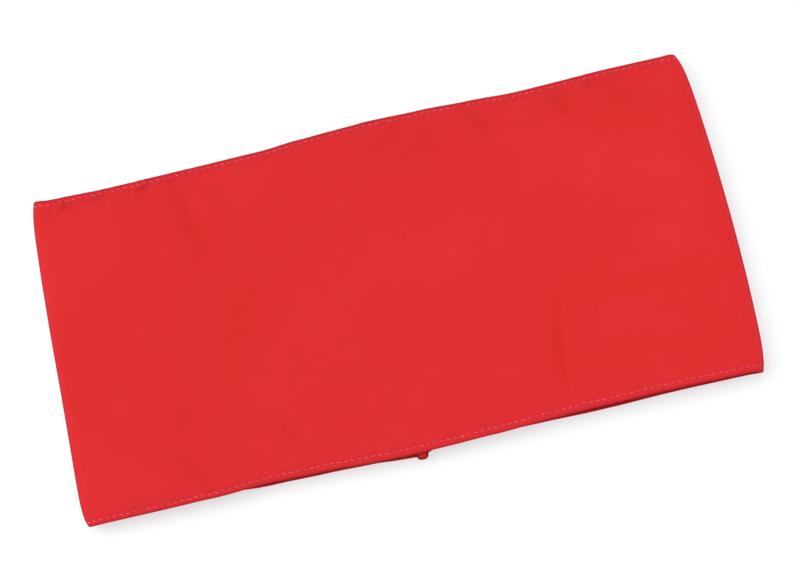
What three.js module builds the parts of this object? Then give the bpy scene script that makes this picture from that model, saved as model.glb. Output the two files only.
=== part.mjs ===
// A plain cloth armband, lying flat: a strip of red cotton sewn into a tube and flattened, with
// a narrow turned hem round each open edge and one seam down the middle of the back.
// Millimetres. X runs from fold to fold, Y from the near hem to the far hem, Z up from the
// surface that the armband lies on. The origin is the centre of its base.
import * as THREE from "three";

// Driving dimensions
const HALF_LENGTH = 107.5; // middle to fold, so the cloth is about 430 round
const WALL = 1.0;
const FOLD_REACH = 4.4; // how far the rounded fold reaches past the flat panels
const HEM_DEPTH = 4.0;
const HEM_THICKNESS = 1.4;
const HEM_ROUNDING = 0.5; // depth of the rounded edge where the hem is turned
const GAP = 0.3; // left between pieces that are sewn together
const SEAM_X = -2.4;
const SEAM_WIDTH = 8;
const SEAM_PLY = 1.0;
const SEAM_CHAMFER = 0.3;
const SEAM_INSET = 1.0; // from the hems' inner edges to the ends of the seam allowance
const TAB_WIDTH = 3.6;
const TAB_THICKNESS = 1.5;
const TAB_TIP_Y = -55.6;
const TAB_ROOT_Y = -46.4;
const TAB_BEVEL = 0.35;
const TAB_ROUNDING = 1.3; // radius of the two corners at its tip

// Facets round the loop and across the depth
const BACK_STEPS = 14;
const FRONT_STEPS = 40;
const FOLD_STEPS = 10;
const DEPTH_STEPS = 22;
const HEM_ROUNDING_STEPS = 4;
const TAB_END_STEPS = 7;
const TAB_BEVEL_STEPS = 2;

// Where the two hems run, front and back, and how high the front panel stands. The front panel
// lies a little nearer than the back, and stands highest over the right half.
const EDGES = [
  { x: -108, nearBack: -51.6, nearFront: -53.4, farBack: 50.6, farFront: 51.2, height: 7.4 },
  { x: -96, nearBack: -51.5, nearFront: -53.3, farBack: 50.6, farFront: 50.3, height: 7.8 },
  { x: -82, nearBack: -51.4, nearFront: -53.3, farBack: 50.7, farFront: 49.9, height: 7.8 },
  { x: -66, nearBack: -51.6, nearFront: -53.3, farBack: 50.9, farFront: 50.1, height: 7.7 },
  { x: -50, nearBack: -52.6, nearFront: -52.6, farBack: 51.0, farFront: 50.3, height: 7.5 },
  { x: -32, nearBack: -52.9, nearFront: -53.0, farBack: 51.1, farFront: 50.6, height: 7.4 },
  { x: -18, nearBack: -53.3, nearFront: -53.6, farBack: 51.2, farFront: 51.4, height: 7.4 },
  { x: -8, nearBack: -54.0, nearFront: -53.9, farBack: 51.3, farFront: 51.8, height: 7.4 },
  { x: -3, nearBack: -54.3, nearFront: -54.0, farBack: 51.3, farFront: 52.0, height: 7.4 },
  { x: 4, nearBack: -52.2, nearFront: -53.9, farBack: 51.4, farFront: 52.3, height: 7.4 },
  { x: 20, nearBack: -52.4, nearFront: -53.6, farBack: 51.3, farFront: 52.0, height: 7.5 },
  { x: 36, nearBack: -52.5, nearFront: -52.9, farBack: 51.1, farFront: 51.3, height: 7.7 },
  { x: 52, nearBack: -52.8, nearFront: -52.6, farBack: 50.9, farFront: 50.5, height: 8.0 },
  { x: 80, nearBack: -52.4, nearFront: -52.5, farBack: 51.0, farFront: 51.0, height: 8.3 },
  { x: 96, nearBack: -52.5, nearFront: -52.7, farBack: 51.0, farFront: 51.0, height: 8.1 },
  { x: 108, nearBack: -52.8, nearFront: -53.0, farBack: 50.9, farFront: 51.3, height: 7.7 },
];

// How far the folds draw in: a hollow at the middle, a slow easing towards each hem and a tight
// tuck at the corner. The left fold leans out a little towards the near hem. The point is how far
// the corner, on the fold, stands out past the edges beside it.
const DRAW_IN = {
  left: {
    hollow: 0.3,
    near: { easing: -0.6, tuck: 1.75, point: 0.5 },
    far: { easing: 1.1, tuck: 1.25, point: 0.8 },
  },
  right: {
    hollow: 0.1,
    near: { easing: 2.0, tuck: 1.3, point: 0.4 },
    far: { easing: 1.8, tuck: 1.9, point: 0.7 },
  },
};
const EASING_POWER = 2;
const TUCK_POWER = 14;

// Soft dents (sink over 0) and swells (sink under 0) of the front panel, each an oval at an
// angle in degrees from X. At the oval's rim a dent has faded to exp(-DENT_FADE) of its depth.
const DENT_FADE = 2;
const DENTS = [
  { x: 76, y: -20, angle: -1, length: 34, width: 7, sink: 0.45 },
  { x: 46, y: -32, angle: 82, length: 16, width: 4, sink: 0.4 },
  { x: 65, y: 43, angle: -64, length: 7, width: 4, sink: 0.45 },
  { x: 39, y: 43, angle: -53, length: 8, width: 4, sink: 0.4 },
  { x: -57, y: 33, angle: -78, length: 13, width: 5, sink: 0.4 },
  { x: -69, y: -46, angle: -57, length: 9, width: 4, sink: 0.4 },
  { x: -40, y: -39, angle: -61, length: 9, width: 4, sink: 0.35 },
  { x: 20, y: 8, angle: 20, length: 48, width: 26, sink: -0.25 },
  { x: -52, y: -8, angle: 70, length: 34, width: 14, sink: 0.3 },
  { x: 84, y: 35, angle: -15, length: 18, width: 9, sink: 0.3 },
];

const CLOTH = { color: 0xd63338, roughness: 0.92, metalness: 0 };
const bandCloth = new THREE.MeshStandardMaterial(CLOTH);
const hemCloth = new THREE.MeshStandardMaterial({ ...CLOTH, color: 0xcd2f35 });
const seamCloth = new THREE.MeshStandardMaterial({ ...CLOTH, color: 0xb92a30 });

const { lerp, smoothstep, degToRad, clamp } = THREE.MathUtils;

// One column of EDGES at x, eased from row to row.
function edgeAt(x, column) {
  const last = EDGES.length - 1;
  const above = EDGES.findIndex((row) => row.x >= x);
  const i = clamp(above < 0 ? last : above, 1, last);
  const share = smoothstep(x, EDGES[i - 1].x, EDGES[i].x);
  return lerp(EDGES[i - 1][column], EDGES[i][column], share);
}

// The distance from the middle to a fold, at depth share t from the near hem to the far hem.
function reachAt(side, t) {
  const fromMiddle = Math.abs(2 * t - 1);
  const { easing, tuck } = DRAW_IN[side][t < 0.5 ? "near" : "far"];
  const drawn = easing * fromMiddle ** EASING_POWER + tuck * fromMiddle ** TUCK_POWER;
  return HALF_LENGTH - DRAW_IN[side].hollow - drawn;
}

// How far the dents press the front panel down at a point.
function sinkAt(x, y) {
  return DENTS.reduce((total, dent) => {
    const turn = degToRad(dent.angle);
    const along = (x - dent.x) * Math.cos(turn) + (y - dent.y) * Math.sin(turn);
    const across = (y - dent.y) * Math.cos(turn) - (x - dent.x) * Math.sin(turn);
    const spread = (along / dent.length) ** 2 + (across / dent.width) ** 2;
    return total + dent.sink * Math.exp(-DENT_FADE * spread);
  }, 0);
}

// The stations round the loop: along the back, round the right fold, along the front and round
// the left fold. Each says which stretch it is on and how far along that stretch, from 0 to 1.
function loopStations() {
  const stretches = [
    { stretch: "back", steps: BACK_STEPS },
    { stretch: "right", steps: FOLD_STEPS },
    { stretch: "front", steps: FRONT_STEPS },
    { stretch: "left", steps: FOLD_STEPS },
  ];
  return stretches.flatMap(({ stretch, steps }) =>
    Array.from({ length: steps }, (_, i) => ({ stretch, share: i / steps })),
  );
}

// The outline of the tube at depth share t: the place, the share of the height that it has
// reached, and the direction that points into the cloth.
function outlineAt({ stretch, share }, t) {
  const left = reachAt("left", t) - FOLD_REACH;
  const right = reachAt("right", t) - FOLD_REACH;
  if (stretch === "back") return { x: lerp(-left, right, share), z: 0, up: 0, inX: 0, inZ: 1 };
  if (stretch === "front") {
    const x = lerp(right, -left, share);
    return { x, z: edgeAt(x, "height"), up: 1, inX: 0, inZ: -1 };
  }
  const turn = Math.PI * (share - 0.5);
  const outward = stretch === "right" ? 1 : -1;
  const start = stretch === "right" ? right : -left;
  const up = (1 + outward * Math.sin(turn)) / 2;
  return {
    x: start + outward * FOLD_REACH * Math.cos(turn),
    z: edgeAt(start, "height") * up,
    up,
    inX: -outward * Math.cos(turn),
    inZ: -outward * Math.sin(turn),
  };
}

// The near and far edges of the cloth at a station.
function edgesAt(station, t) {
  const { x, up } = outlineAt(station, t);
  const { near, far } = DRAW_IN[x < 0 ? "left" : "right"];
  const onFold = 1 - Math.abs(2 * up - 1);
  return {
    low: lerp(edgeAt(x, "nearBack"), edgeAt(x, "nearFront"), up) - near.point * onFold,
    high: lerp(edgeAt(x, "farBack"), edgeAt(x, "farFront"), up) + far.point * onFold,
  };
}

// A point of the cloth at a station. Its place across the depth is a distance in from the near
// or the far edge, or a share of the way between the hems, and under is its depth in the cloth.
function clothPoint(station, { near, far, share, under }) {
  const { low, high } = edgesAt(station, far === undefined ? (share ?? 0) : 1);
  const inner = HEM_DEPTH + GAP;
  let y = lerp(low + inner, high - inner, share ?? 0);
  if (near !== undefined) y = low + near;
  if (far !== undefined) y = high - far;
  const { x, z, up, inX, inZ } = outlineAt(station, clamp((y - low) / (high - low), 0, 1));
  const sink = sinkAt(x, y) * smoothstep(up, 0.5, 1);
  return new THREE.Vector3(x + inX * under, y, z + inZ * under - sink);
}

// A closed ring of cloth: the section's points, swept round all the stations.
function sweptRing(section) {
  const stations = loopStations();
  const points = stations.flatMap((station) => section.map((s) => clothPoint(station, s)));
  const index = [];
  const vertex = (i, j) => (i % stations.length) * section.length + (j % section.length);
  for (let i = 0; i < stations.length; i++) {
    for (let j = 0; j < section.length; j++) {
      const [a, b, c, d] = [vertex(i, j), vertex(i + 1, j), vertex(i + 1, j + 1), vertex(i, j + 1)];
      index.push(a, b, c, a, c, d);
    }
  }
  const geometry = new THREE.BufferGeometry().setFromPoints(points);
  geometry.setIndex(index);
  geometry.computeVertexNormals();
  return geometry;
}

// The wall between the hems: across its outer face and back along the inner one.
function bandSection() {
  const shares = Array.from({ length: DEPTH_STEPS + 1 }, (_, i) => i / DEPTH_STEPS);
  const outer = shares.map((share) => ({ share, under: 0 }));
  const inner = shares.map((share) => ({ share, under: WALL }));
  return [...outer.reverse(), ...inner];
}

// A turned hem: a flat double fold of cloth, rounded where it turns at the open edge.
function hemSection(edge) {
  const rounding = Array.from({ length: HEM_ROUNDING_STEPS + 1 }, (_, i) => {
    const turn = Math.PI * (i / HEM_ROUNDING_STEPS - 0.5);
    return {
      [edge]: HEM_ROUNDING * (1 - Math.cos(turn)),
      under: (HEM_THICKNESS / 2) * (1 + Math.sin(turn)),
    };
  });
  const section = [
    { [edge]: HEM_DEPTH, under: 0 },
    ...rounding,
    { [edge]: HEM_DEPTH, under: HEM_THICKNESS },
  ];
  return edge === "near" ? section : section.reverse();
}

// The seam allowance, pressed flat on the inner face of the back.
function seamAllowance() {
  const half = SEAM_WIDTH / 2;
  const c = SEAM_CHAMFER;
  const profile = new THREE.Shape([
    new THREE.Vector2(-half, 0),
    new THREE.Vector2(half, 0),
    new THREE.Vector2(half, SEAM_PLY - c),
    new THREE.Vector2(half - c, SEAM_PLY),
    new THREE.Vector2(-half + c, SEAM_PLY),
    new THREE.Vector2(-half, SEAM_PLY - c),
  ]);
  const nearEnd = TAB_ROOT_Y + GAP;
  const farEnd = edgeAt(SEAM_X, "farBack") - HEM_DEPTH - SEAM_INSET;
  const geometry = new THREE.ExtrudeGeometry(profile, {
    depth: farEnd - nearEnd,
    bevelEnabled: false,
  });
  geometry.rotateX(Math.PI / 2);
  return geometry.translate(SEAM_X, farEnd, WALL + GAP);
}

// The folded end of the seam, which lies over the near hem and pokes out past it.
function seamTab() {
  const half = TAB_WIDTH / 2 - TAB_BEVEL;
  const round = TAB_ROUNDING - TAB_BEVEL;
  const root = TAB_ROOT_Y - TAB_BEVEL;
  const tip = TAB_TIP_Y + TAB_BEVEL;
  const outline = new THREE.Shape();
  outline.moveTo(half, root);
  outline.lineTo(-half, root);
  outline.lineTo(-half, tip + round);
  outline.absarc(round - half, tip + round, round, Math.PI, 1.5 * Math.PI, false);
  outline.lineTo(half - round, tip);
  outline.absarc(half - round, tip + round, round, 1.5 * Math.PI, 2 * Math.PI, false);
  outline.lineTo(half, root);
  const geometry = new THREE.ExtrudeGeometry(outline, {
    depth: TAB_THICKNESS - 2 * TAB_BEVEL,
    bevelThickness: TAB_BEVEL,
    bevelSize: TAB_BEVEL,
    bevelSegments: TAB_BEVEL_STEPS,
    curveSegments: TAB_END_STEPS,
  });
  return geometry.translate(SEAM_X, 0, HEM_THICKNESS + GAP + TAB_BEVEL);
}

function piece(name, geometry, material) {
  const mesh = new THREE.Mesh(geometry, material);
  mesh.name = name;
  return mesh;
}

const armband = new THREE.Group();
armband.name = "armband";
armband.add(
  piece("band", sweptRing(bandSection()), bandCloth),
  piece("near_hem", sweptRing(hemSection("near")), hemCloth),
  piece("far_hem", sweptRing(hemSection("far")), hemCloth),
  piece("back_seam", seamAllowance(), seamCloth),
  piece("seam_tab", seamTab(), seamCloth),
);

// The origin is the centre of the base.
const bounds = new THREE.Box3().setFromObject(armband);
const centre = bounds.getCenter(new THREE.Vector3());
armband.position.set(-centre.x, -centre.y, -bounds.min.z);

export default armband;
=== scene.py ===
import math
from collections import namedtuple

import bpy
import numpy as np
from mathutils import Matrix, Vector, noise


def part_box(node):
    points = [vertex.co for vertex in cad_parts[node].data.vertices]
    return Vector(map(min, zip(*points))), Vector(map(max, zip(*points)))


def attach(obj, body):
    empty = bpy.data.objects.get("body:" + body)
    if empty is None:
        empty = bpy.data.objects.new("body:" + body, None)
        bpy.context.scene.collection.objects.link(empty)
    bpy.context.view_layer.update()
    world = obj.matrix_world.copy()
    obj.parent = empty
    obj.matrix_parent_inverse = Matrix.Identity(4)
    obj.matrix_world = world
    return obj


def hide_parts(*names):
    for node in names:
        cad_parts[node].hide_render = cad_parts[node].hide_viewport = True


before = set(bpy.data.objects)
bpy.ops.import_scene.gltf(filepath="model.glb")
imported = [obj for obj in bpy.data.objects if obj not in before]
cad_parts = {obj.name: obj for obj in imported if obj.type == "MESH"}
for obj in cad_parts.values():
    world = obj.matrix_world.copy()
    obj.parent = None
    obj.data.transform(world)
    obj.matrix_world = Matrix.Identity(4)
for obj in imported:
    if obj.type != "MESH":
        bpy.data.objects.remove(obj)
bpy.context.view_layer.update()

MM = 0.001

# Sizes of the cloth
CLOTH = 0.4 * MM  # one layer
FOLD_REACH = 4.4 * MM  # how far the rounded folds reach past the flat panels
FOLD_ROUND = 13.0 * MM  # the way round one fold
HEM_DEPTH = 3.0 * MM
HEM_CLEARANCE = 0.1 * MM  # between the three layers of a hem
HEM_RIM = 4.4 * MM  # from an edge to the first row of the open panel
RAW_EDGE = 1.0 * MM  # from an edge to the raw edge hidden in its hem
PANEL_DEPTH = 104.5 * MM  # from edge to edge, for the weave's own measure
HALF_LENGTH = 107.5 * MM  # from the middle to a fold
SEAM_FROM_MIDDLE = -2.4 * MM
TIP_FROM_MIDDLE = -55.6 * MM  # the tip of the seam's end, from the line that the edges run from

band_low, band_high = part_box("band")
seam_low, seam_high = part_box("back_seam")
tab_low, tab_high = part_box("seam_tab")
SEAM_X = (seam_low.x + seam_high.x) / 2
MIDDLE_X = SEAM_X - SEAM_FROM_MIDDLE
MIDDLE_Y = tab_low.y - TIP_FROM_MIDDLE
FLAT = 2 * (HALF_LENGTH - FOLD_REACH)  # the back or the front, from fold to fold
ROUND = 2 * (FLAT + FOLD_ROUND)  # the whole way round the loop

FLAT_LIFT = 0.9  # the cloth whose lift is past this is on a flat panel, front or back

# How finely the sheet is divided
BACK_COLUMNS = 54
FOLD_COLUMNS = 14
FRONT_COLUMNS = 208
SEAM_COLUMNS = 14
PANEL_ROWS = 78
SEAM_STRETCH = 1.9  # in millimetres to each side of the seam, for its own columns
ROW_GAP = 0.4 * MM  # before the first row of the open panel

# The unevenness of the cloth: how strong it is, about how far it is from swell to swell, and the
# seed of its waves.
EDGE_WOBBLE = 0.1 * MM
EDGE_WOBBLE_SIZE = 13 * MM
EDGE_WOBBLE_SEED = 5.3
PANEL_WAVE = 0.16 * MM
PANEL_WAVE_SIZE = 26 * MM
PANEL_WAVE_SEED = 1.9

# The groove of the seam, and the small step where a hem's turned layers end
GROOVE_DEPTH = 0.16 * MM
GROOVE_WIDTH = 0.4 * MM
STEP_HEIGHT = 0.12 * MM
STEP_START = 0.4 * MM  # before the hem's depth
STEP_END = 0.6 * MM  # past the hem's depth
STEP_FADE = 8 * MM

# Where the two hems run, front and back, and how high the front panel stands, in millimetres
# from the middle line.
Edge = namedtuple("Edge", "x near_back near_front far_back far_front height")
EDGES = [
    Edge(-108, -51.6, -53.4, 50.6, 51.2, 7.4),
    Edge(-96, -51.5, -53.3, 50.6, 50.3, 7.8),
    Edge(-82, -51.4, -53.3, 50.7, 49.9, 7.8),
    Edge(-66, -51.6, -53.3, 50.9, 50.1, 7.7),
    Edge(-50, -52.6, -52.6, 51.0, 50.3, 7.5),
    Edge(-32, -52.9, -53.0, 51.1, 50.6, 7.4),
    Edge(-18, -53.3, -53.6, 51.2, 51.4, 7.4),
    Edge(-8, -54.0, -53.9, 51.3, 51.8, 7.4),
    Edge(-3, -54.3, -54.0, 51.3, 52.0, 7.4),
    Edge(4, -52.2, -53.9, 51.4, 52.3, 7.4),
    Edge(20, -52.4, -53.6, 51.3, 52.0, 7.5),
    Edge(36, -52.5, -52.9, 51.1, 51.3, 7.7),
    Edge(52, -52.8, -52.6, 50.9, 50.5, 8.0),
    Edge(80, -52.4, -52.5, 51.0, 51.0, 8.3),
    Edge(96, -52.5, -52.7, 51.0, 51.0, 8.1),
    Edge(108, -52.8, -53.0, 50.9, 51.3, 7.7),
]

# How far the folds draw in, in millimetres: a hollow at the middle, a slow easing towards each
# hem and a tight tuck at the corner. The point is how far the corner, on the fold, stands out past
# the edges beside it.
DrawIn = namedtuple("DrawIn", "hollow easing tuck point")
DRAW_IN = {
    ("left", "near"): DrawIn(0.3, -0.6, 1.75, 0.5),
    ("left", "far"): DrawIn(0.3, 1.1, 1.25, 1.2),
    ("right", "near"): DrawIn(0.1, 2.0, 1.3, 0.4),
    ("right", "far"): DrawIn(0.1, 1.8, 1.9, 0.9),
}
EASING_POWER = 2
TUCK_POWER = 14

# Soft dents (sink over 0) and swells (sink under 0) of the front panel, in millimetres, each an
# oval at an angle in degrees from X.
Dent = namedtuple("Dent", "x y angle length width sink")
DENTS = [
    Dent(74, -18.6, -2, 36, 5, 0.4),
    Dent(68, -38.9, -2, 20, 4, 0.25),
    Dent(46, -32, 82, 16, 4, 0.4),
    Dent(65, 43, -64, 7, 4, 0.45),
    Dent(39, 43, -53, 8, 4, 0.4),
    Dent(-57, 33, -78, 13, 5, 0.3),
    Dent(-69, -46, -57, 9, 4, 0.25),
    Dent(-40, -39, -61, 9, 4, 0.25),
    Dent(20, 8, 20, 48, 26, -0.25),
    Dent(-52, -8, 70, 34, 14, 0.3),
    Dent(84, 35, -15, 18, 9, 0.3),
]
DENT_FADE = 2
DENT_FULL = 0.4 * MM  # the depth at which a dent is at its darkest

# Sharper creases of the front panel, in millimetres. Each is a shallow groove with a low ridge
# beside it.
Crease = namedtuple("Crease", "x y angle length width depth")
CREASES = [
    Crease(65, 43, -64, 6, 1.3, 0.16),
    Crease(60.5, 46.5, -62, 5, 1.1, 0.09),
    Crease(39, 43, -53, 7, 1.4, 0.1),
    Crease(-57, 33, -78, 11, 1.5, 0.09),
    Crease(-45, 37, -70, 8, 1.4, 0.09),
    Crease(-69.5, -46, -57, 8, 1.4, 0.1),
    Crease(-40, -39, -61, 8, 1.5, 0.09),
    Crease(-22, -48, -56, 5, 1.3, 0.09),
    Crease(46, -32, 82, 15, 1.2, 0.12),
    Crease(-94, 46.8, 17, 3.4, 1.1, 0.3),
    Crease(-84.5, 47.1, 23, 3.4, 1.0, 0.3),
    Crease(-69.5, 47.1, 20, 3.4, 1.0, 0.26),
    Crease(-61, 46.9, 12, 3, 1.1, 0.16),
    Crease(82, 46.8, 10, 4, 1.2, 0.14),
    Crease(75, 46.9, 16, 3, 1.0, 0.14),
    Crease(85, 41.5, -5, 6, 2.0, 0.09),
    Crease(61, -47, 11, 9, 1.8, 0.08),
    Crease(-88, -50.5, -31, 6, 1.5, 0.08),
]
RIDGE_BESIDE = 1.7  # in widths of the groove
RIDGE_SHARE = 0.6
CREASE_FULL = 0.3 * MM  # the depth at which a crease is at its darkest

# Little gathers that the stitching draws into the cloth beside each hem: where along X, and how
# strong they are, in millimetres.
Gather = namedtuple("Gather", "x near far")
GATHERS = [
    Gather(-108, 0.02, 0.09),
    Gather(-92, 0.03, 0.18),
    Gather(-70, 0.05, 0.14),
    Gather(-40, 0.05, 0.05),
    Gather(0, 0.03, 0.02),
    Gather(30, 0.02, 0.05),
    Gather(60, 0.03, 0.08),
    Gather(90, 0.03, 0.05),
    Gather(108, 0.02, 0.03),
]
GATHER_PITCH = 5.2 * MM
GATHER_WANDER = 1.1  # in pitches
GATHER_WANDER_SIZE = 11 * MM
GATHER_SEED_NEAR = 3.7
GATHER_SEED_FAR = 9.1
GATHER_LEAN = 0.8
GATHER_INSET = 3.6 * MM
GATHER_REACH = 4.2 * MM

# The stitching of the hems: how far in from the edge it runs, in millimetres, and how steeply its
# stitches lie across its line, in degrees. Then the measures of its thread.
StitchLine = namedtuple("StitchLine", "x near far near_slant far_slant")
STITCH_LINES = [
    StitchLine(-108, 1.35, 1.7, -12, -14),
    StitchLine(-92, 1.35, 1.7, -12, -14),
    StitchLine(-80, 1.25, 1.5, -12, -26),
    StitchLine(-55, 1.5, 1.5, -12, -24),
    StitchLine(-35, 1.85, 1.5, -10, -10),
    StitchLine(60, 1.85, 1.5, 2, 14),
    StitchLine(108, 1.75, 1.6, 4, 24),
]
STITCH_COUNT = 204
STITCH_PITCH = ROUND / STITCH_COUNT
STITCH_LENGTH = 1.55 * MM
STITCH_RADIUS = 0.19 * MM
STITCH_DIP = 0.13 * MM  # how far the thread pulls the hem in
STITCH_DIP_REACH = 0.8 * MM
STITCH_TIGHT = 0.12 * MM  # how far a stitch on a fold is drawn into the cloth
STITCH_PRESSED = 0.3  # of its height, for a stitch under the armband
STITCH_WANDER = 0.06 * MM  # how far a stitch strays from its line
STITCH_TURN = 5  # how far a stitch strays from its slant, in degrees
STITCH_SIDES = 8
FOLD_CURVE = 4.2 * MM  # the radius of a fold

# The seam's plies inside the back: how they lie open, fray and curl
ALLOWANCE_REACH = 1.5 * MM  # further towards each hem than the solid that they stand for
ALLOWANCE_GAP = 0.22 * MM  # from the seam's middle to a ply
FRAY = 0.25 * MM
FRAY_SIZE = 3 * MM
CURL = 0.9 * MM
CURL_CHANGE = 0.35 * MM
CURL_SIZE = 17 * MM
CURL_POWER = 1.6

# The seam's folded end: its rounding, its waist between the two plies, and its swell
END_ROUNDING = 0.36  # of its width
END_CUTS = (0.12, 0.3, 0.45, 0.65)  # shares of the way from its tip
END_WAIST = (0.84, 0.965, 1)
END_WAIST_RISE = 0.04 * MM
END_EDGE = 0.22 * MM
END_FLATNESS = 0.8
SWELL_FROM_TIP = 1.3 * MM
SWELL_LENGTH = 1.4 * MM
SWELL_WIDTH = 0.06
SWELL_HEIGHT = 0.5
LUMP = 0.05 * MM
LUMP_SIZE = 1.1 * MM

# The camera stands over the table, a little in front of the armband, with its top turned left.
PHOTO_WIDTH = 800
CAMERA_FOCAL = 1661  # in pixels of the photograph's width
CAMERA_SENSOR = 36  # in millimetres
CAMERA_DISTANCE = 520 * MM
CAMERA_ELEVATION = 77
CAMERA_ROLL = 13
CAMERA_AIM = Vector((2.67 * MM, 1.65 * MM, 0))


def linear(red, green, blue):
    """A colour of the screen, 0 to 255 each, as the renderer's own linear colour."""
    return (*(((c / 255 + 0.055) / 1.055) ** 2.4 for c in (red, green, blue)), 1.0)


def smooth(value, start, end):
    """0 before start and 1 after end, with a soft change between them."""
    share = np.clip((value - start) / (end - start), 0, 1)
    return share * share * (3 - 2 * share)


def eased(table, column, x):
    """One column of a table, in metres, at the places x, eased from row to row."""
    places = np.array([row.x for row in table]) * MM
    values = np.array([getattr(row, column) for row in table]) * MM
    i = np.clip(np.searchsorted(places, x), 1, len(places) - 1)
    share = smooth(x, places[i - 1], places[i])
    return values[i - 1] + (values[i] - values[i - 1]) * share


def waves(x, y, size, seed):
    """Smooth random waves about size across, from -1 to 1."""
    x, y = np.broadcast_arrays(x, y)
    flat = [noise.noise(Vector((a / size, b / size, seed))) for a, b in zip(x.ravel(), y.ravel())]
    return np.array(flat).reshape(x.shape)


def turned(row, x, y):
    """The places x and y as distances along and across a dent or a crease."""
    angle = math.radians(row.angle)
    from_x = x - row.x * MM
    from_y = y - row.y * MM
    along = from_x * math.cos(angle) + from_y * math.sin(angle)
    across = from_y * math.cos(angle) - from_x * math.sin(angle)
    return along / (row.length * MM), across / (row.width * MM)


def sink_at(x, y):
    """How far the soft dents press the front panel down."""
    total = 0
    for dent in DENTS:
        along, across = turned(dent, x, y)
        total = total + dent.sink * MM * np.exp(-DENT_FADE * (along**2 + across**2))
    return total


def crease_at(x, y):
    """How far the sharper creases raise the front panel."""
    total = 0
    for crease in CREASES:
        along, across = turned(crease, x, y)
        groove = np.exp(-(across**2))
        ridge = RIDGE_SHARE * np.exp(-((across - RIDGE_BESIDE) ** 2))
        total = total + crease.depth * MM * (ridge - groove) * np.exp(-2 * along**4)
    return total


def gather_at(x, inset, near):
    """How far the gathers beside a hem raise the cloth."""
    strength = eased(GATHERS, "near", x) if near else eased(GATHERS, "far", x)
    seed = GATHER_SEED_NEAR if near else GATHER_SEED_FAR
    wander = GATHER_WANDER * waves(x, 0 * x, GATHER_WANDER_SIZE, seed)
    phase = (x + GATHER_LEAN * inset) / GATHER_PITCH + wander
    fade = np.exp(-(((inset - GATHER_INSET) / GATHER_REACH) ** 2))
    return strength * np.sin(2 * math.pi * phase) * fade


def stitching_at(x, near):
    """How far in from its edge a hem's stitching runs."""
    return np.where(near, eased(STITCH_LINES, "near", x), eased(STITCH_LINES, "far", x))


def hem_at(inset, stitching):
    """How far the pull of the thread and the end of the turned layers lower the outer face."""
    pull = STITCH_DIP * np.exp(-(((inset - stitching) / STITCH_DIP_REACH) ** 2))
    past = smooth(inset, HEM_DEPTH - STEP_START, HEM_DEPTH + STEP_END)
    return -pull - STEP_HEIGHT * past * np.exp(-inset / STEP_FADE)


def loop_place(u):
    """Where distance u round the loop is: how far across, from -1 at the left fold to 1 at the
    right one, how far it is out on a fold, and its lift, from -1 on the back to 1 on the front."""
    right_turn = math.pi * ((u - FLAT) / FOLD_ROUND - 0.5)
    left_turn = math.pi * (0.5 - (u - 2 * FLAT - FOLD_ROUND) / FOLD_ROUND)
    on = [u < FLAT, u < FLAT + FOLD_ROUND, u < 2 * FLAT + FOLD_ROUND]
    along_front = 1 - 2 * (u - FLAT - FOLD_ROUND) / FLAT
    across = np.select(on, [2 * u / FLAT - 1, np.ones_like(u), along_front], -1.0)
    out = np.select(on, [0 * u, np.cos(right_turn), 0 * u], -np.cos(left_turn))
    lift = np.select(on, [-np.ones_like(u), np.sin(right_turn), np.ones_like(u)], np.sin(left_turn))
    return across, out, lift


def reach_at(side, toward_far):
    """The distance from the middle to a fold, at a share of the way from the near hem to the far
    one."""
    from_middle = np.abs(2 * toward_far - 1)
    total = HALF_LENGTH
    for half, mask in (("near", toward_far < 0.5), ("far", toward_far >= 0.5)):
        row = DRAW_IN[side, half]
        drawn = row.easing * from_middle**EASING_POWER + row.tuck * from_middle**TUCK_POWER
        total = total - mask * (row.hollow + drawn) * MM
    return total


def point_at(x, edge, lift):
    """How far the near or the far edge stands out where it goes round a fold."""
    point = np.where(x < 0, DRAW_IN["left", edge].point, DRAW_IN["right", edge].point)
    return point * MM * (1 - np.abs(lift))


def x_across(across, toward_far):
    """The X of a place on the flat panels."""
    left = FOLD_REACH - reach_at("left", toward_far)
    right = reach_at("right", toward_far) - FOLD_REACH
    return left + (right - left) * (across + 1) / 2


def cloth_point(u, toward_far, offset, under):
    """Points of the cloth, as an array of places. u is the distance round the loop. toward_far is
    0 at the near edge and 1 at the far one, offset moves on from there, and under is the depth
    below the outer face."""
    u, toward_far, offset, under = np.broadcast_arrays(u, toward_far, offset, under)
    across, out, lift = loop_place(u)
    up = (1 + lift) / 2
    x = x_across(across, toward_far) + out * FOLD_REACH
    wobble = EDGE_WOBBLE * waves(x, lift, EDGE_WOBBLE_SIZE, EDGE_WOBBLE_SEED)
    low = eased(EDGES, "near_back", x) * (1 - up) + eased(EDGES, "near_front", x) * up
    high = eased(EDGES, "far_back", x) * (1 - up) + eased(EDGES, "far_front", x) * up
    low = low - point_at(x, "near", lift) + wobble
    high = high + point_at(x, "far", lift) - wobble
    y = low + (high - low) * toward_far + offset
    share = np.clip((y - low) / (high - low), 0, 1)
    start = x_across(across, share)
    x = start + out * FOLD_REACH
    height = eased(EDGES, "height", start)
    front = smooth(up, 0.5, 1)
    inset = np.minimum(y - low, high - y)
    near = y - low < high - y
    raised = np.where(near, gather_at(x, inset, True), gather_at(x, inset, False))
    raised = raised + crease_at(x, y) + PANEL_WAVE * waves(x, y, PANEL_WAVE_SIZE, PANEL_WAVE_SEED)
    groove = GROOVE_DEPTH * np.exp(-(((x - SEAM_FROM_MIDDLE) / GROOVE_WIDTH) ** 2)) * (lift < -0.5)
    proud = raised * front + hem_at(inset, stitching_at(x, near)) * smooth(up, 0, 0.4) - groove
    depth = under - proud
    z = height * up - lift * depth - sink_at(x, y) * front
    return np.stack([x - out * depth + MIDDLE_X, y + MIDDLE_Y, z], axis=-1)


SheetRow = namedtuple("SheetRow", "toward_far offset under inset")


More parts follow.
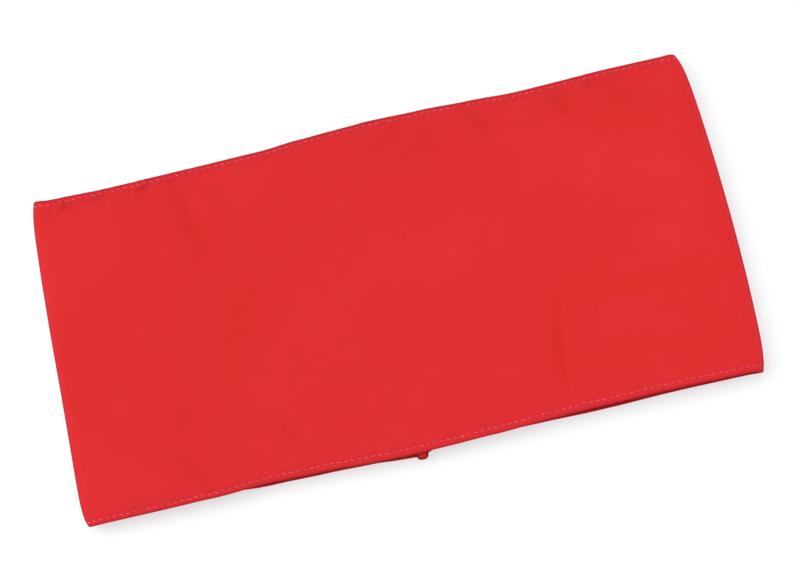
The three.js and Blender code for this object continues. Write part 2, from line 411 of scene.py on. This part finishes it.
def hem_rows():
    """A near hem's section from its raw edge, hidden between the other layers, round to the outer
    face."""
    outer = CLOTH / 2
    middle = outer + CLOTH + HEM_CLEARANCE
    inner = middle + CLOTH + HEM_CLEARANCE
    tight = (inner - middle) / 2
    wide = (inner - outer) / 2
    inner_turn = HEM_DEPTH - tight - outer
    edge_turn = outer + wide
    places = [(inset, middle) for inset in np.linspace(RAW_EDGE, inner_turn, 4)]
    for degrees in (-45, 0, 45):
        turn = math.radians(degrees)
        inset = inner_turn + tight * math.cos(turn)
        places.append((inset, middle + tight + tight * math.sin(turn)))
    places += [(inset, inner) for inset in np.linspace(inner_turn, edge_turn, 5)]
    for degrees in (60, 30, 0, -30, -60):
        turn = math.radians(degrees)
        inset = edge_turn - wide * math.cos(turn)
        places.append((inset, outer + wide + wide * math.sin(turn)))
    places += [(inset, outer) for inset in np.linspace(edge_turn, HEM_RIM - ROW_GAP, 8)]
    return [SheetRow(0.0, inset, under, inset) for inset, under in places]


def sheet_rows():
    """The rows of the whole strip, from the raw edge inside the near hem to the one inside the
    far hem."""
    near = hem_rows()
    far = [SheetRow(1.0, -row.offset, row.under, row.inset) for row in reversed(near)]
    panel = []
    for share in np.linspace(0, 1, PANEL_ROWS):
        offset = HEM_RIM * (1 - 2 * share)
        inset = HEM_RIM + (PANEL_DEPTH - 2 * HEM_RIM) * min(share, 1 - share)
        panel.append(SheetRow(share, offset, CLOTH / 2, inset))
    return near + panel + far


def sheet_columns():
    """Places round the loop, close together on the front, the folds and at the seam."""
    seam = (SEAM_FROM_MIDDLE / (HALF_LENGTH - FOLD_REACH) + 1) / 2 * FLAT
    stretches = [
        np.linspace(0, FLAT, BACK_COLUMNS, endpoint=False),
        seam + np.linspace(-SEAM_STRETCH, SEAM_STRETCH, SEAM_COLUMNS) * MM,
        FLAT + np.linspace(0, FOLD_ROUND, FOLD_COLUMNS, endpoint=False),
        FLAT + FOLD_ROUND + np.linspace(0, FLAT, FRONT_COLUMNS, endpoint=False),
        2 * FLAT + FOLD_ROUND + np.linspace(0, FOLD_ROUND, FOLD_COLUMNS, endpoint=False),
    ]
    return np.unique(np.concatenate(stretches))


def select_only(*objects):
    """Leaves just these objects selected, with the first one active."""
    for other in bpy.context.selected_objects:
        other.select_set(False)
    for piece in objects:
        piece.select_set(True)
    bpy.context.view_layer.objects.active = objects[0]


def apply_modifiers(piece):
    """Makes the piece's modifiers part of its mesh."""
    select_only(piece)
    for modifier in list(piece.modifiers):
        bpy.ops.object.modifier_apply(modifier=modifier.name)


def mesh_piece(name, points, faces):
    """A new piece from its points and faces, with every face smooth."""
    mesh = bpy.data.meshes.new(name)
    mesh.from_pydata(points.tolist(), [], faces)
    mesh.shade_smooth()
    piece = bpy.data.objects.new(name, mesh)
    bpy.context.scene.collection.objects.link(piece)
    return piece


def set_uv(piece, name, corner_places):
    """Gives the piece a UV map, with a place for each corner of its faces."""
    layer = piece.data.uv_layers.new(name=name)
    layer.data.foreach_set("uv", np.asarray(corner_places, dtype=np.float32).ravel())


def set_attribute(piece, name, values):
    """Gives each point of the piece a number."""
    attribute = piece.data.attributes.new(name, "FLOAT", "POINT")
    attribute.data.foreach_set("value", np.asarray(values, dtype=np.float32).ravel())


def make_cloth():
    """The strip of cloth, sewn into a tube, with its hems turned in."""
    columns = sheet_columns()
    rows = sheet_rows()
    u = columns[:, None]
    points = cloth_point(
        u,
        np.array([row.toward_far for row in rows])[None, :],
        np.array([row.offset for row in rows])[None, :],
        np.array([row.under for row in rows])[None, :],
    )
    count, width = points.shape[:2]
    i, j = np.meshgrid(np.arange(count), np.arange(width - 1), indexing="ij")
    here = i * width + j
    onward = (i + 1) % count * width + j
    faces = np.stack([here, here + 1, onward + 1, onward], -1)
    cloth = mesh_piece("armband_cloth", points.reshape(-1, 3), faces.reshape(-1, 4).tolist())

    # The weave is measured along the strip and across it, in metres.
    middle = points[count * 3 // 4]
    steps = np.linalg.norm(np.diff(middle, axis=0), axis=1)
    v = np.concatenate([[0], np.cumsum(steps)])
    u_edges = np.append(columns, ROUND)
    this, following = u_edges[i], u_edges[i + 1]
    lower, upper = v[j], v[j + 1]
    corners = [(this, lower), (this, upper), (following, upper), (following, lower)]
    set_uv(cloth, "cloth", np.stack([np.stack(c, -1) for c in corners], axis=2).reshape(-1, 2))

    # The finish reads how far each point is from its edge and from its stitching, how high on the
    # loop it is, and how deep in a crease or a dent of the front.
    inset = np.array([row.inset for row in rows])[None, :]
    near = np.array([row.toward_far < 0.5 for row in rows])[None, :]
    x = points[..., 0] - MIDDLE_X
    y = points[..., 1] - MIDDLE_Y
    lift = np.broadcast_to(loop_place(columns)[2][:, None], (count, width))
    front = lift > FLAT_LIFT
    set_attribute(cloth, "inset", np.broadcast_to(inset, (count, width)))
    set_attribute(cloth, "off_stitching", inset - stitching_at(x, near))
    set_attribute(cloth, "lift", lift)
    set_attribute(cloth, "crease", np.clip(-crease_at(x, y) / CREASE_FULL, 0, 1) * front)
    set_attribute(cloth, "dent", np.clip(sink_at(x, y) / DENT_FULL, 0, 1) * front)

    solidify = cloth.modifiers.new("thickness", "SOLIDIFY")
    solidify.thickness = CLOTH
    solidify.offset = 0
    solidify.use_even_offset = True
    apply_modifiers(cloth)
    return cloth


def model_stitch():
    """One stitch of twisted thread: a round strand that rises out of the cloth, arches over it
    and goes back in."""
    Ring = namedtuple("Ring", "along rise girth")
    rings = [
        Ring(-0.5, -0.75, 0.55),
        Ring(-0.44, -0.2, 0.85),
        Ring(-0.32, 0.3, 1.0),
        Ring(-0.12, 0.55, 1.0),
        Ring(0.12, 0.55, 1.0),
        Ring(0.32, 0.3, 1.0),
        Ring(0.44, -0.2, 0.85),
        Ring(0.5, -0.75, 0.55),
    ]
    first = rings[0]
    start = Vector((first.along * STITCH_LENGTH, 0, first.rise * STITCH_RADIUS))
    bpy.ops.mesh.primitive_circle_add(
        vertices=STITCH_SIDES,
        radius=STITCH_RADIUS * first.girth,
        fill_type="NGON",
        location=start,
        rotation=(0, math.radians(90), 0),
    )
    stitch = bpy.context.active_object
    select_only(stitch)
    bpy.ops.object.transform_apply(location=True, rotation=True, scale=True)
    bpy.ops.object.mode_set(mode="EDIT")
    bpy.ops.mesh.select_all(action="SELECT")
    for before, ring in zip(rings, rings[1:]):
        onward = (ring.along - before.along) * STITCH_LENGTH
        upward = (ring.rise - before.rise) * STITCH_RADIUS
        bpy.ops.mesh.extrude_region_move(TRANSFORM_OT_translate={"value": (onward, 0, upward)})
        change = ring.girth / before.girth
        centre = (ring.along * STITCH_LENGTH, 0, ring.rise * STITCH_RADIUS)
        bpy.ops.transform.resize(value=(change, change, change), center_override=centre)
    bpy.ops.mesh.select_all(action="SELECT")
    bpy.ops.mesh.normals_make_consistent(inside=False)
    bpy.ops.object.mode_set(mode="OBJECT")
    return stitch


def stitch_frames(toward_far, under, outward):
    """Where the stitches of one row stand: their places and their three directions each."""
    u = (np.arange(STITCH_COUNT) + 0.5) * STITCH_PITCH
    near = toward_far == 0
    side = 1 if near else -1
    random = np.random.default_rng(int(11 + 5 * toward_far + outward))  # a seed for each row
    x = cloth_point(u, toward_far, 0, 0)[:, 0] - MIDDLE_X
    inset = stitching_at(x, near) + random.normal(0, STITCH_WANDER, STITCH_COUNT)
    offset = side * inset
    step = 0.3 * MM
    places = cloth_point(u, toward_far, offset, under)
    ahead = cloth_point((u + step) % ROUND, toward_far, offset, under)
    behind = cloth_point((u - step) % ROUND, toward_far, offset, under)
    further = cloth_point(u, toward_far, offset + step, under)
    along = ahead - behind
    along /= np.linalg.norm(along, axis=1)[:, None]
    toward = further - places
    normal = np.cross(toward, along)
    normal *= outward / np.linalg.norm(normal, axis=1)[:, None]
    sideways = np.cross(normal, along)
    lean = eased(STITCH_LINES, "near_slant" if near else "far_slant", x) / MM
    slant = np.radians(lean + random.normal(0, STITCH_TURN, STITCH_COUNT))[:, None] * outward
    run = along * np.cos(slant) + sideways * np.sin(slant)
    return places, run, np.cross(normal, run), normal


def make_thread(name, toward_far):
    """The stitching round one hem, as it shows on the outer face and inside the tube."""
    stitch = model_stitch()
    template = np.array([vertex.co for vertex in stitch.data.vertices])
    polygons = [list(face.vertices) for face in stitch.data.polygons]
    angle = np.arctan2(template[:, 1], template[:, 2])
    points = []
    faces = []
    corner_places = []
    hem_under = 3 * CLOTH + 2 * HEM_CLEARANCE
    for under, outward in ((0, 1), (hem_under, -1)):
        places, run, cross, normal = stitch_frames(toward_far, under, outward)
        out, lift = loop_place((np.arange(STITCH_COUNT) + 0.5) * STITCH_PITCH)[1:]
        for k in range(STITCH_COUNT):
            first = len(points) * len(template)
            turn = np.stack([run[k], cross[k], normal[k]])
            bent = template.copy()
            if outward > 0 and lift[k] < -FLAT_LIFT:
                bent[:, 2] *= STITCH_PRESSED
            curve = template[:, 0] ** 2 / (2 * FOLD_CURVE)
            bent[:, 2] -= abs(out[k]) * (STITCH_TIGHT + outward * curve)
            points.append(places[k] + bent @ turn)
            along = template[:, 0] + k * STITCH_PITCH
            for polygon in polygons:
                faces.append([first + vertex for vertex in polygon])
                corner_places += [(along[v], angle[v] * STITCH_RADIUS) for v in polygon]
    bpy.data.objects.remove(stitch)
    thread = mesh_piece(name, np.concatenate(points), faces)
    set_uv(thread, "thread", corner_places)
    return thread


def plan_uv(piece):
    """Lays the weave on a small piece as it was cut, straight down from above."""
    corners = [piece.data.vertices[loop.vertex_index].co for loop in piece.data.loops]
    set_uv(piece, "cloth", [(co.x - band_low.x, co.y - band_low.y) for co in corners])


def model_allowance():
    """The seam's two plies inside the back, pressed open, whose cut edges curl up a little."""
    low = seam_low.y - ALLOWANCE_REACH
    length = seam_high.y + ALLOWANCE_REACH - low
    width = (seam_high.x - seam_low.x) / 2
    plies = []
    for side in (-1, 1):
        bpy.ops.mesh.primitive_grid_add(x_subdivisions=10, y_subdivisions=110, size=1)
        ply = bpy.context.active_object
        for vertex in ply.data.vertices:
            share = vertex.co.x + 0.5
            y = low + (vertex.co.y + 0.5) * length
            fray = FRAY * noise.noise(Vector((y / FRAY_SIZE, side * 4.0, 0.5)))
            curl = CURL + CURL_CHANGE * noise.noise(Vector((y / CURL_SIZE, side * 7.0, 2.5)))
            x = SEAM_X + side * (ALLOWANCE_GAP + share * (width - ALLOWANCE_GAP + fray))
            z = 1.6 * CLOTH + 0.1 * MM + curl * share**CURL_POWER
            vertex.co = Vector((x, y, z))
        plies.append(ply)
    select_only(*plies)
    bpy.ops.object.join()
    allowance = bpy.context.active_object
    allowance.name = "seam_allowance"
    allowance.data.name = "seam_allowance"
    bpy.ops.object.mode_set(mode="EDIT")
    bpy.ops.mesh.select_all(action="SELECT")
    bpy.ops.mesh.normals_make_consistent(inside=False)
    bpy.ops.object.mode_set(mode="OBJECT")
    solidify = allowance.modifiers.new("thickness", "SOLIDIFY")
    solidify.thickness = CLOTH
    solidify.offset = 0
    apply_modifiers(allowance)
    bpy.ops.object.shade_smooth()
    return allowance


def select_edges(piece, wanted):
    """In edit mode, selects the edges whose two ends pass the test."""
    bpy.ops.mesh.select_mode(type="EDGE")
    bpy.ops.mesh.select_all(action="DESELECT")
    bpy.ops.object.mode_set(mode="OBJECT")
    vertices = piece.data.vertices
    for edge in piece.data.edges:
        edge.select = wanted(*(vertices[i].co for i in edge.vertices))
    bpy.ops.object.mode_set(mode="EDIT")


def model_seam_end():
    """The folded end of the seam, a round tongue of two plies that pokes out past the near hem."""
    size = tab_high - tab_low
    centre = (tab_high + tab_low) / 2
    bpy.ops.mesh.primitive_cube_add(size=1, location=centre, scale=size)
    tongue = bpy.context.active_object
    select_only(tongue)
    bpy.ops.object.transform_apply(location=True, rotation=True, scale=True)
    tongue.name = "seam_end"
    tongue.data.name = "seam_end"
    bpy.ops.object.mode_set(mode="EDIT")
    tip = tab_low.y + 0.1 * MM
    select_edges(tongue, lambda a, b: a.y < tip and b.y < tip and abs(a.z - b.z) > 0.5 * size.z)
    bpy.ops.mesh.bevel(offset=size.x * END_ROUNDING, segments=7, affect="EDGES")
    for share in END_CUTS:
        bpy.ops.mesh.select_all(action="SELECT")
        place = (centre.x, tab_low.y + size.y * share, centre.z)
        bpy.ops.mesh.bisect(plane_co=place, plane_no=(0, 1, 0))
    waist = centre.z + END_WAIST_RISE
    bpy.ops.mesh.select_all(action="SELECT")
    bpy.ops.mesh.bisect(plane_co=(centre.x, centre.y, waist), plane_no=(0, 0, 1))
    select_edges(tongue, lambda a, b: max(abs(a.z - waist), abs(b.z - waist)) < 0.02 * MM)
    bpy.ops.transform.resize(value=END_WAIST, center_override=centre)
    bpy.ops.object.mode_set(mode="OBJECT")
    bevel = tongue.modifiers.new("soft edges", "BEVEL")
    bevel.width = END_EDGE
    bevel.segments = 2
    bevel.limit_method = "ANGLE"
    bevel.angle_limit = math.radians(50)
    subdivision = tongue.modifiers.new("roundness", "SUBSURF")
    subdivision.levels = 2
    subdivision.render_levels = 2
    apply_modifiers(tongue)
    for vertex in tongue.data.vertices:
        co = vertex.co
        swell = math.exp(-(((co.y - tab_low.y - SWELL_FROM_TIP) / SWELL_LENGTH) ** 2))
        co.x = centre.x + (co.x - centre.x) * (1 + SWELL_WIDTH * swell)
        middle = 1 - (2 * (co.x - centre.x) / size.x) ** 2
        co.z = centre.z + (co.z - centre.z) * (END_FLATNESS + SWELL_HEIGHT * swell * max(middle, 0))
        co.z += LUMP * noise.noise(co / LUMP_SIZE)
    bpy.ops.object.shade_smooth()
    rims = []
    for vertex in tongue.data.vertices:
        to_side = size.x / 2 - abs(vertex.co.x - centre.x)
        rims.append(min(to_side, vertex.co.y - tab_low.y))
    set_attribute(tongue, "rim", rims)
    return tongue


class Value:
    """A number that varies over a surface. Arithmetic on it adds Math nodes to its finish."""

    def __init__(self, finish, socket):
        self.finish = finish
        self.socket = socket

    def maths(self, operation, *terms):
        return self.finish.add("ShaderNodeMath", {"operation": operation}, dict(enumerate(terms)))

    def __add__(self, other):
        return self.maths("ADD", self, other)

    __radd__ = __add__

    def __sub__(self, other):
        return self.maths("SUBTRACT", self, other)

    def __rsub__(self, other):
        return self.maths("SUBTRACT", other, self)

    def __mul__(self, other):
        return self.maths("MULTIPLY", self, other)

    __rmul__ = __mul__

    def __truediv__(self, other):
        return self.maths("DIVIDE", self, other)

    def __pow__(self, other):
        return self.maths("POWER", self, other)

    def __rpow__(self, other):
        return self.maths("POWER", other, self)

    def __gt__(self, other):
        return self.maths("GREATER_THAN", self, other)

    def __abs__(self):
        return self.maths("ABSOLUTE", self)

    def sine(self):
        return self.maths("SINE", self)

    def bell(self, centre, width):
        """1 where this is at the centre, falling away to both sides."""
        away = (self - centre) / width
        return math.e ** (away * away * -1)


class Finish:
    """A procedural material, built up from nodes."""

    def __init__(self, name, **uniform):
        self.material = bpy.data.materials.new(name)
        self.material.use_nodes = True
        self.tree = self.material.node_tree
        self.shader = self.tree.nodes["Principled BSDF"]
        for socket, value in uniform.items():
            self.shader.inputs[socket.replace("_", " ")].default_value = value

    def add(self, kind, settings=None, inputs=None, output=0):
        """Adds a node, sets it, feeds its sockets with values or links, and gives its output."""
        node = self.tree.nodes.new(kind)
        for name, value in (settings or {}).items():
            setattr(node, name, value)
        for socket, value in (inputs or {}).items():
            self.feed(node.inputs[socket], value)
        return Value(self, node.outputs[output])

    def feed(self, socket, value):
        """Gives a socket a value, or a link where the value varies."""
        if isinstance(value, Value):
            self.tree.links.new(value.socket, socket)
        else:
            socket.default_value = value

    def mix(self, share, first, second, blend="MIX"):
        """A colour between two, or one blended over the other."""
        settings = {"data_type": "RGBA", "blend_type": blend}
        return self.add("ShaderNodeMix", settings, {0: share, 6: first, 7: second}, output=2)

    def attribute(self, name):
        """A number that the points of the piece carry."""
        return self.add("ShaderNodeAttribute", {"attribute_name": name}, output=2)

    def uv(self, name):
        """A place on one of the piece's UV maps."""
        return self.add("ShaderNodeUVMap", {"uv_map": name})

    def place(self):
        """A place in the object's own coordinates, in metres."""
        return self.add("ShaderNodeTexCoord", output=3)

    def axis(self, vector, index):
        """One number of a vector: 0 for X, 1 for Y and 2 for Z."""
        return self.add("ShaderNodeSeparateXYZ", None, {0: vector}, output=index)

    def vector(self, x, y, z=0.0):
        """A vector of three numbers."""
        return self.add("ShaderNodeCombineXYZ", None, {0: x, 1: y, 2: z})

    def noise(self, place, scale=1.0, detail=2.0, roughness=0.5):
        """Soft random patches, from 0 to 1."""
        inputs = {"Vector": place, "Scale": scale, "Detail": detail, "Roughness": roughness}
        return self.add("ShaderNodeTexNoise", {"noise_dimensions": "3D"}, inputs)

    def soft_step(self, value, start, end):
        """0 before start and 1 after end, with a soft change between them."""
        inputs = {"Value": value, "From Min": start, "From Max": end}
        return self.add("ShaderNodeMapRange", {"interpolation_type": "SMOOTHSTEP"}, inputs)

    def paint(self, colour, roughness, height):
        """Feeds the shader its colour, its roughness and the surface's relief, in metres."""
        self.feed(self.shader.inputs["Base Color"], colour)
        self.feed(self.shader.inputs["Roughness"], roughness)
        relief = {"Strength": 1.0, "Distance": 1.0, "Height": height}
        self.feed(self.shader.inputs["Normal"], self.add("ShaderNodeBump", None, relief))


# The finishes: how the cotton shines, and each colour as it looks on the screen.
COTTON_SHEEN = {
    "Sheen_Weight": 0.06,
    "Sheen_Roughness": 0.45,
    "Sheen_Tint": linear(255, 120, 125),
    "Specular_IOR_Level": 0.12,
}
COTTON_RED = linear(221, 46, 48)
COTTON_DEEP = linear(218, 43, 43)
COTTON_FADED = linear(224, 50, 55)
# The painted shade in the front panel's dents
COTTON_DENT_SHADE = linear(214, 43, 35)
# The painted highlight on the folds
COTTON_FOLD_HIGHLIGHT = linear(225, 42, 56)
COTTON_HEM = linear(215, 41, 53)
COTTON_INSIDE = linear(184, 32, 38)
# The seam end's red, painted brighter as painted light against the shade over it
COTTON_END_PAINTED_LIGHT = linear(255, 58, 66)
THREAD_PALE = linear(252, 94, 106)
THREAD_DEEP = linear(236, 60, 70)
CARD_WHITE = linear(173, 173, 174)
CARD_GRAIN = linear(168, 168, 170)
CARD_GLOW = 0.61
CARD_GLOW_TINT = (0.96, 1.0, 1.0, 1.0)

# The weave: how far its threads wander, how long and how wide their thick places are, and how
# much both raise and lighten the cloth.
WEAVE_PITCH = 0.42 * MM
WEAVE_HEIGHT = 0.035 * MM
WEAVE_SHADE = 0.1
THREAD_WANDER = 0.12 * MM
THREAD_WANDER_SIZE = 2.5 * MM
WEFT_SLUB = (13 * MM, 0.5 * MM)
WARP_SLUB = (0.55 * MM, 9 * MM)
SLUB_HEIGHT = 0.06 * MM
SLUB_SHADE = 0.2

# The needle's holes
HOLE_WIDTH = 0.35 * MM
HOLE_DEPTH = 0.05 * MM
HOLE_SHADE = 0.12

# How much painted shade darkens the near and the far edge, the left and the right fold, a crease
# and the seam end's rim, and how far that reaches.
EDGE_REACH = 0.6 * MM
EDGE_SHADES = (0.12, 0.5)
FOLD_BREADTH = 0.5  # in lift
FOLD_SHADES = (0.58, 0.45)
CREASE_SHADE = 0.16
RIM_REACH = 1.1 * MM
RIM_SHADE = 0.7

# The two threads of a twist, and how much they stand out
TWIST_PITCH = 0.36 * MM
TWIST_LEAN = 1.4
TWIST_HEIGHT = 0.03 * MM
THREAD_WEAR_SIZE = 3.1 * MM

TABLE_SIZE = 12
TABLE_DROP = 0.02 * MM  # below the armband, so that the two never share a face
WORLD_LIGHT = 0.28


def cotton(name, tone, hemmed=False, rimmed=False):
    """Plain-woven dyed cotton. Its threads run along the strip and across it, and painted shade
    darkens it where it turns at an edge."""
    finish = Finish(name, **COTTON_SHEEN)
    uv = finish.uv("cloth")
    u = finish.axis(uv, 0)
    v = finish.axis(uv, 1)
    place = finish.place()

    # Each thread wanders and swells a little along its length.
    wandering = finish.vector(u / THREAD_WANDER_SIZE, v / THREAD_WANDER_SIZE)
    wander = (finish.noise(wandering, detail=1.0) - 0.5) * THREAD_WANDER
    warp = ((u + wander) * (math.pi / WEAVE_PITCH)).sine()
    weft = ((v + wander) * (math.pi / WEAVE_PITCH)).sine()
    over = warp * weft > 0.0
    raised = (abs(warp) * abs(weft)) ** 0.6
    thread = raised * (0.75 + 0.25 * over)
    weft_slub = finish.noise(finish.vector(u / WEFT_SLUB[0], v / WEFT_SLUB[1]))
    warp_slub = finish.noise(finish.vector(u / WARP_SLUB[0], v / WARP_SLUB[1], 4.0))
    slub = weft_slub * 0.65 + warp_slub * 0.35 - 0.5

    # The dye has faded in patches.
    broad = finish.noise(place, scale=28.0, detail=3.0)
    patch = finish.noise(place, scale=95.0, detail=3.0, roughness=0.6)
    colour = finish.mix(finish.soft_step(broad, 0.38, 0.62), tone, COTTON_DEEP)
    colour = finish.mix(finish.soft_step(patch, 0.5, 0.75) * 0.45, colour, COTTON_FADED)
    height = thread * WEAVE_HEIGHT + slub * SLUB_HEIGHT
    # Painted shade: the hollows between the weave's raised threads are darker, and the thick places
    # are lighter.
    shade = 1.0 + slub * SLUB_SHADE + (raised - 0.45) * WEAVE_SHADE
    if hemmed:
        inset = finish.attribute("inset")
        lift = finish.attribute("lift")
        hem = 1.0 - finish.soft_step(inset, HEM_DEPTH - 0.3 * MM, HEM_DEPTH + 0.5 * MM)
        fold = 1.0 - finish.soft_step(abs(lift), 0.55, 1.0)
        # Painted highlight: towards the folds the cloth is painted a brighter, more crimson red.
        colour = finish.mix(fold * 0.8, colour, COTTON_FOLD_HIGHLIGHT)
        colour = finish.mix(hem * 0.6, colour, COTTON_HEM)
        # Painted shade: the dents are painted a darker, more orange red.
        colour = finish.mix(finish.attribute("dent") * 0.8, colour, COTTON_DENT_SHADE)

        # The needle's holes are at the ends of the stitches, where the thread pulls the cloth in.
        # They are sunk a little and painted darker, as painted shade.
        between = (u * (math.pi / STITCH_PITCH)).sine()
        on_line = finish.attribute("off_stitching").bell(0.0, HOLE_WIDTH)
        hole = (1.0 - abs(between)) ** 3.0 * on_line
        height = height - hole * HOLE_DEPTH
        shade = shade - hole * HOLE_SHADE

        # Painted shade darkens the hems' edges, the folds and the creases. The far edge and the
        # left fold are the darker ones.
        x = finish.axis(place, 0)
        y = finish.axis(place, 1)
        far = finish.soft_step(y, -0.01, 0.01)
        right = finish.soft_step(x, -0.01, 0.01)
        edge_shade = EDGE_SHADES[0] + (EDGE_SHADES[1] - EDGE_SHADES[0]) * far
        fold_shade = FOLD_SHADES[0] + (FOLD_SHADES[1] - FOLD_SHADES[0]) * right
        shade = shade * (1.0 - inset.bell(0.0, EDGE_REACH) * edge_shade)
        shade = shade * (1.0 - lift.bell(0.0, FOLD_BREADTH) * fold_shade)
        shade = shade - finish.attribute("crease") * CREASE_SHADE

        # Painted light brightens the right end, most of all beside its fold, where a painted
        # highlight runs. Painted shade darkens its far side a little.
        painted_light_right = finish.soft_step(x, 0.01, 0.107) * (0.05 - 0.02 * far)
        wear_and_painted_shade = finish.soft_step(y, 0.02, 0.05) * right * 0.035
        shade = shade + painted_light_right - wear_and_painted_shade + lift.bell(0.72, 0.17) * right * 0.26
    if rimmed:
        # Painted shade darkens the seam end towards its rim.
        rim = 1.0 - finish.soft_step(finish.attribute("rim"), 0.1 * MM, RIM_REACH)
        shade = shade - rim * RIM_SHADE
    grey = finish.vector(shade, shade, shade)
    colour = finish.mix(1.0, colour, grey, blend="MULTIPLY")
    finish.paint(colour, 0.86 + slub * 0.12, height)
    return finish.material


def sewing_thread(name):
    """Twisted cotton thread, paler than the cloth."""
    finish = Finish(name, Sheen_Weight=0.1, Sheen_Roughness=0.4, Specular_IOR_Level=0.3)
    uv = finish.uv("thread")
    along = finish.axis(uv, 0)
    around = finish.axis(uv, 1)
    twist = ((along + around * TWIST_LEAN) * (2 * math.pi / TWIST_PITCH)).sine()
    lay = twist * 0.5 + 0.5
    wear_and_painted_shade = finish.noise(finish.vector(along / THREAD_WEAR_SIZE, 0.3))
    colour = finish.mix(finish.soft_step(wear_and_painted_shade, 0.3, 0.7), THREAD_PALE, THREAD_DEEP)
    # Painted shade: the grooves between the twist's strands are a deeper red.
    colour = finish.mix((1.0 - lay) * 0.35, colour, THREAD_DEEP)
    finish.paint(colour, 0.62 + lay * 0.12, lay * TWIST_HEIGHT)
    return finish.material


def pale_table():
    """The plain surface that the armband lies on: white card over a light box, which keeps the
    shadows soft and pale."""
    bpy.ops.mesh.primitive_plane_add(size=TABLE_SIZE, location=(0, 0, -TABLE_DROP))
    table = bpy.context.active_object
    table.name = "table"
    finish = Finish(
        "lit_white_card",
        Specular_IOR_Level=0.1,
        Emission_Color=CARD_GLOW_TINT,
        Emission_Strength=CARD_GLOW,
    )
    grain = finish.noise(finish.place(), scale=900.0)
    colour = finish.mix(grain * 0.1, CARD_WHITE, CARD_GRAIN)
    finish.paint(colour, 0.9, grain * (0.01 * MM))
    table.data.materials.append(finish.material)


def soft_light(name, toward, elevation, distance, size, share):
    """A square panel light that faces the armband. toward is its direction on the table, in
    degrees from X, and share is how much of a white card's full brightness it gives."""
    turn = math.radians(toward)
    rise = math.radians(elevation)
    level = math.cos(rise)
    place = distance * Vector((math.cos(turn) * level, math.sin(turn) * level, math.sin(rise)))
    data = bpy.data.lights.new(name, "AREA")
    data.size = size
    data.energy = share * math.pi**2 * distance**2 / math.sin(rise)
    light = bpy.data.objects.new(name, data)
    light.location = place
    light.rotation_mode = "QUATERNION"
    light.rotation_quaternion = (-place).to_track_quat("-Z", "Y")
    bpy.context.scene.collection.objects.link(light)


def studio():
    """Soft light from the upper left and from above, a low light on the right fold, and a little
    light all round."""
    soft_light("key", toward=162, elevation=48, distance=4.4, size=3.2, share=0.46)
    soft_light("overhead", toward=118, elevation=77, distance=4.4, size=3.6, share=0.38)
    soft_light("low_right", toward=5, elevation=20, distance=4.0, size=1.8, share=0.06)
    world = bpy.data.worlds.new("studio")
    world.use_nodes = True
    background = world.node_tree.nodes["Background"]
    background.inputs["Color"].default_value = (1.0, 1.0, 1.0, 1.0)
    background.inputs["Strength"].default_value = WORLD_LIGHT
    bpy.context.scene.world = world
    bpy.context.scene.view_settings.view_transform = "Standard"


def camera():
    """The photograph's camera."""
    elevation = math.radians(CAMERA_ELEVATION)
    roll = math.radians(CAMERA_ROLL)
    forward = Vector((0, math.cos(elevation), -math.sin(elevation)))
    level_right = Vector((1, 0, 0))
    level_up = Vector((0, math.sin(elevation), math.cos(elevation)))
    right = math.cos(roll) * level_right - math.sin(roll) * level_up
    up = math.sin(roll) * level_right + math.cos(roll) * level_up
    data = bpy.data.cameras.new("photograph")
    data.sensor_width = CAMERA_SENSOR
    data.lens = CAMERA_FOCAL / PHOTO_WIDTH * CAMERA_SENSOR
    eye = bpy.data.objects.new("photograph", data)
    axes = Matrix((right, up, -forward)).transposed().to_4x4()
    eye.matrix_world = Matrix.Translation(CAMERA_AIM - forward * CAMERA_DISTANCE) @ axes
    bpy.context.scene.collection.objects.link(eye)
    bpy.context.scene.camera = eye


def finish_piece(piece, material, slot, *nodes):
    """Gives a piece its finish and its body, and hides the solids that it stands for."""
    piece.data.materials.clear()
    piece.data.materials.append(material)
    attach(piece, "root")
    if nodes:
        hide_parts(*nodes)


bpy.ops.object.select_all(action="DESELECT")
camera()
studio()
pale_table()

cloth = make_cloth()
allowance = model_allowance()
seam_end = model_seam_end()
near_thread = make_thread("near_hem_thread", 0.0)
far_thread = make_thread("far_hem_thread", 1.0)
plan_uv(allowance)
plan_uv(seam_end)

thread_finish = sewing_thread("sewing_thread")
inside_finish = cotton("cut_cotton", COTTON_INSIDE)
cloth_finish = cotton("red_cotton", COTTON_RED, hemmed=True)
# The seam end is painted brighter than the cloth, as painted light.
end_finish = cotton("folded_cotton", COTTON_END_PAINTED_LIGHT, rimmed=True)
finish_piece(cloth, cloth_finish, "red_cotton", "band", "near_hem", "far_hem")
finish_piece(allowance, inside_finish, "red_cotton_inside", "back_seam")
finish_piece(seam_end, end_finish, "red_cotton_inside", "seam_tab")
finish_piece(near_thread, thread_finish, "sewing_thread")
finish_piece(far_thread, thread_finish, "sewing_thread")
